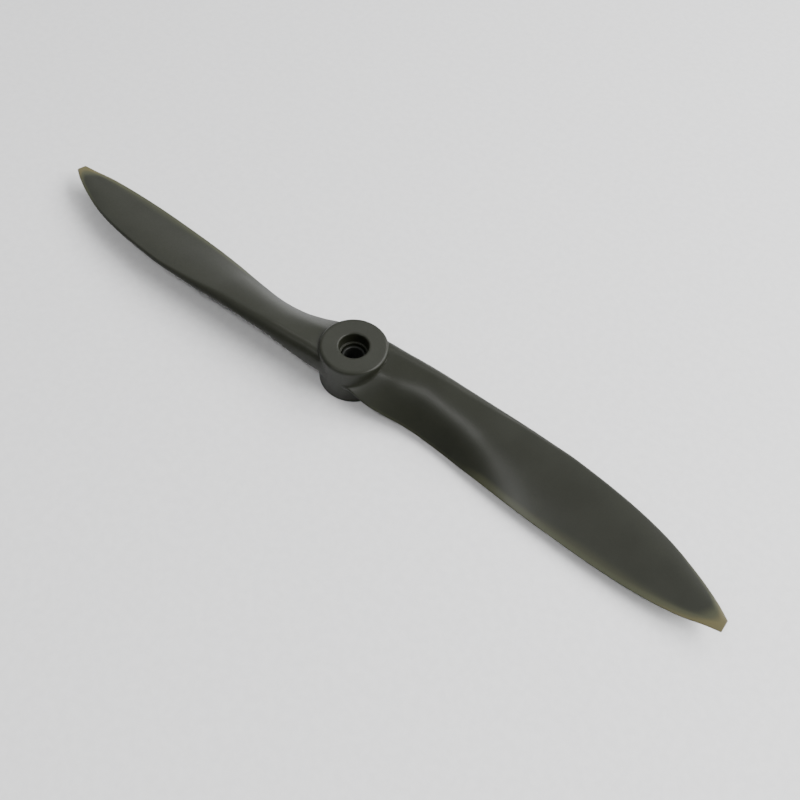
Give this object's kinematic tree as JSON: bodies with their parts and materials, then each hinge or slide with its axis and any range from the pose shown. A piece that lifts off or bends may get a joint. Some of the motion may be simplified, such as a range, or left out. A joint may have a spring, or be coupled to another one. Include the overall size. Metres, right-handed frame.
{
  "type": "model aircraft propeller",
  "caption": "Moulded two-blade propeller for a model aircraft, with swept tapering blades, a round hub with a stepped shaft hole, and a loose shaft adapter ring.",
  "frame": {"origin": "on the hub's axis, at the hub's rear face, which rests against the drive washer or on a table", "axes": "+Z along the hub's axis towards the front face, the direction of thrust; +X along one blade's span; on that blade +Y is the leading edge side"},
  "size_m": [0.2794, 0.0262, 0.016],
  "materials": {
    "moulding": "satin glass-filled nylon, dark olive grey, paler and slightly translucent at the thin tips and edges",
    "adapter": "satin nylon, mid grey"
  },
  "bodies": {
    "propeller": {"propeller_moulding": "moulding"},
    "adapter_ring": {"shaft_adapter_ring": "adapter"}
  },
  "joints": [
    {"name": "adapter_ring_lift_out", "type": "slide", "parent": "propeller", "child": "adapter_ring", "axis": [0, 0, 1], "range_m": [0, 0.018]}
  ]
}
